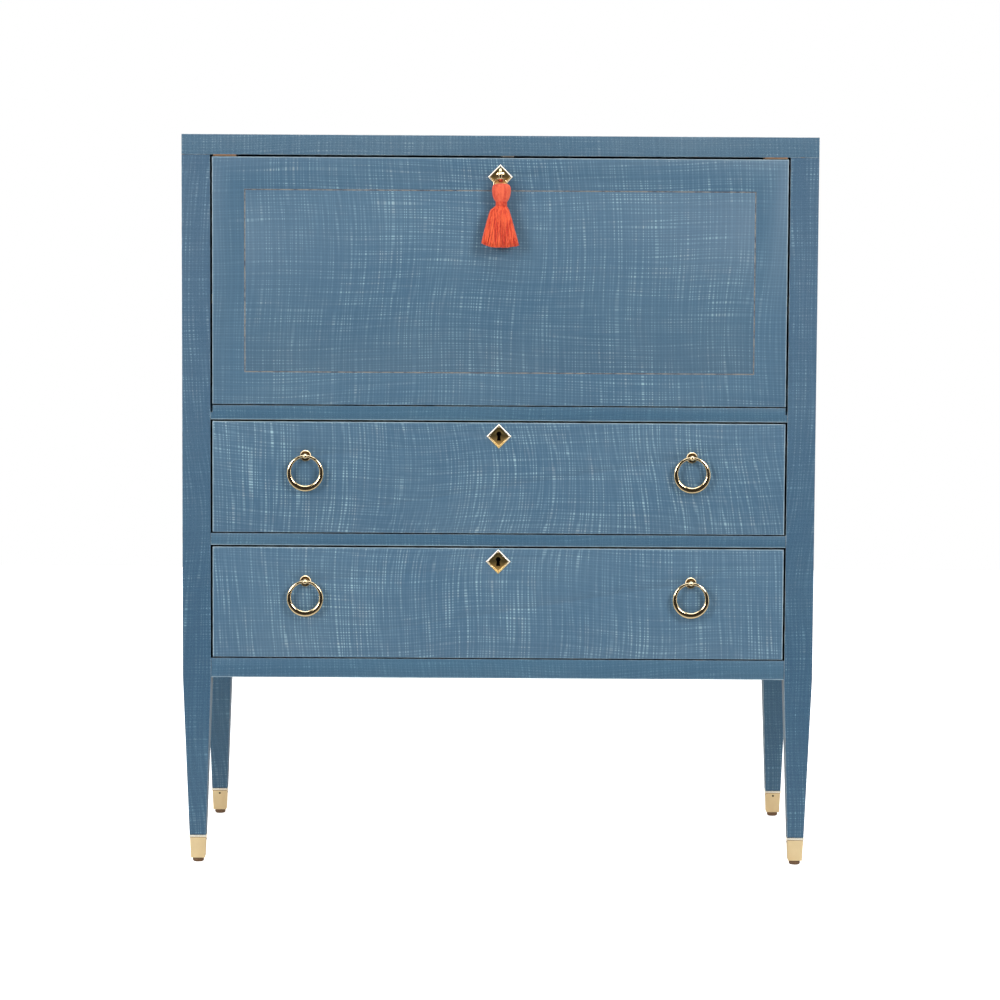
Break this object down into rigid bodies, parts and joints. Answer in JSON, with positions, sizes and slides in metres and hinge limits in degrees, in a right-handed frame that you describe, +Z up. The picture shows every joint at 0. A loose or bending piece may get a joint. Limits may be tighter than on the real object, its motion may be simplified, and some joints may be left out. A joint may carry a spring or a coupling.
{
  "type": "drop-front writing desk",
  "caption": "Painted drop-front writing desk on tapered brass-capped legs: lockable flap with key and tassel over two drawers with ring pulls, pigeonholes inside.",
  "frame": {"origin": "centre of the footprint of the whole desk's box, on the floor under the glides", "axes": "+Z up, +X to the right of someone facing the desk, +Y from the front to the back"},
  "size_m": [0.965, 0.488, 1.1175],
  "materials": {
    "blue_paint": "satin brushed paint",
    "bare_wood": "matte",
    "brass": "polished",
    "steel": "satin",
    "brown_plastic": "matte",
    "coral_thread": "matte"
  },
  "bodies": {
    "carcass": {"top_slab": "blue_paint", "front_left_leg": "blue_paint", "front_right_leg": "blue_paint", "rear_left_leg": "blue_paint", "rear_right_leg": "blue_paint", "left_side_panel": "blue_paint", "right_side_panel": "blue_paint", "back_panel": "blue_paint", "desk_rail": "blue_paint", "middle_rail": "blue_paint", "apron_rail": "blue_paint", "desk_floor": "bare_wood", "middle_shelf": "bare_wood", "bottom_board": "bare_wood", "strike_plate": "steel", "left_stop_block": "bare_wood", "right_stop_block": "bare_wood", "pigeonhole_rack": "bare_wood", "front_left_sabot": "brass", "front_right_sabot": "brass", "rear_left_sabot": "brass", "rear_right_sabot": "brass", "front_left_glide": "brown_plastic", "front_right_glide": "brown_plastic", "rear_left_glide": "brown_plastic", "rear_right_glide": "brown_plastic", "left_stay_keeper": "brass", "right_stay_keeper": "brass"},
    "flap": {"flap_panel": "blue_paint", "flap_escutcheon": "brass", "flap_lock_case": "brass", "left_pivot_hinge": "brass", "right_pivot_hinge": "brass", "left_quadrant_stay": "brass", "right_quadrant_stay": "brass"},
    "flap_bolt": {"flap_bolt": "brass"},
    "key": {"flap_key": "brass"},
    "key_ring": {"key_ring": "brass"},
    "tassel": {"tassel": "coral_thread"},
    "inner_drawer": {"inner_drawer_tray": "bare_wood"},
    "upper_drawer": {"upper_drawer_front": "blue_paint", "upper_drawer_box": "bare_wood", "upper_drawer_bottom": "bare_wood", "upper_drawer_escutcheon": "brass", "upper_drawer_lock_case": "brass", "upper_drawer_left_pull_stud": "brass", "upper_drawer_right_pull_stud": "brass"},
    "upper_drawer_bolt": {"upper_drawer_bolt": "brass"},
    "upper_drawer_left_ring": {"upper_drawer_left_pull_ring": "brass"},
    "upper_drawer_right_ring": {"upper_drawer_right_pull_ring": "brass"},
    "lower_drawer": {"lower_drawer_front": "blue_paint", "lower_drawer_box": "bare_wood", "lower_drawer_bottom": "bare_wood", "lower_drawer_escutcheon": "brass", "lower_drawer_lock_case": "brass", "lower_drawer_left_pull_stud": "brass", "lower_drawer_right_pull_stud": "brass"},
    "lower_drawer_bolt": {"lower_drawer_bolt": "brass"},
    "lower_drawer_left_ring": {"lower_drawer_left_pull_ring": "brass"},
    "lower_drawer_right_ring": {"lower_drawer_right_pull_ring": "brass"}
  },
  "joints": [
    {"name": "flap_hinge", "type": "hinge", "parent": "carcass", "child": "flap", "pos_m": [0, -0.204, 0.6983], "axis": [1, 0, 0], "range_deg": [0, 90]},
    {"name": "key_turn", "type": "hinge", "parent": "flap", "child": "key", "pos_m": [0, -0.213, 1.059], "axis": [0, 1, 0], "range_deg": [-90, 0]},
    {"name": "flap_bolt_slide", "type": "slide", "parent": "flap", "child": "flap_bolt", "axis": [0, 0, 1], "range_m": [0, 0.007]},
    {"name": "key_ring_swing", "type": "hinge", "parent": "key", "child": "key_ring", "pos_m": [0, -0.229, 1.0497], "axis": [0, 1, 0], "range_deg": [0, 90]},
    {"name": "tassel_swing", "type": "hinge", "parent": "key_ring", "child": "tassel", "pos_m": [0, -0.229, 1.0323], "axis": [1, 0, 0], "range_deg": [-90, 0]},
    {"name": "inner_drawer_slide", "type": "slide", "parent": "carcass", "child": "inner_drawer", "axis": [0, -1, 0], "range_m": [0, 0.12]},
    {"name": "upper_drawer_slide", "type": "slide", "parent": "carcass", "child": "upper_drawer", "axis": [0, -1, 0], "range_m": [0, 0.3]},
    {"name": "upper_drawer_bolt_slide", "type": "slide", "parent": "upper_drawer", "child": "upper_drawer_bolt", "axis": [0, 0, 1], "range_m": [0, 0.0054]},
    {"name": "upper_drawer_left_ring_swing", "type": "hinge", "parent": "upper_drawer", "child": "upper_drawer_left_ring", "pos_m": [-0.2947, -0.2226, 0.63075], "axis": [-1, 0, 0], "range_deg": [0, 110]},
    {"name": "upper_drawer_right_ring_swing", "type": "hinge", "parent": "upper_drawer", "child": "upper_drawer_right_ring", "pos_m": [0.2947, -0.2226, 0.63075], "axis": [-1, 0, 0], "range_deg": [0, 110]},
    {"name": "lower_drawer_slide", "type": "slide", "parent": "carcass", "child": "lower_drawer", "axis": [0, -1, 0], "range_m": [0, 0.3]},
    {"name": "lower_drawer_bolt_slide", "type": "slide", "parent": "lower_drawer", "child": "lower_drawer_bolt", "axis": [0, 0, 1], "range_m": [0, 0.0054]},
    {"name": "lower_drawer_left_ring_swing", "type": "hinge", "parent": "lower_drawer", "child": "lower_drawer_left_ring", "pos_m": [-0.2947, -0.2226, 0.43865], "axis": [-1, 0, 0], "range_deg": [0, 110]},
    {"name": "lower_drawer_right_ring_swing", "type": "hinge", "parent": "lower_drawer", "child": "lower_drawer_right_ring", "pos_m": [0.2947, -0.2226, 0.43865], "axis": [-1, 0, 0], "range_deg": [0, 110]}
  ],
  "couplings": [
    {"joint": "key_turn", "follows": "flap_bolt_slide", "rad_per_m": -224.4},
    {"joint": "key_ring_swing", "follows": "flap_bolt_slide", "rad_per_m": 224.4},
    {"joint": "tassel_swing", "follows": "flap_hinge", "ratio": -1}
  ]
}
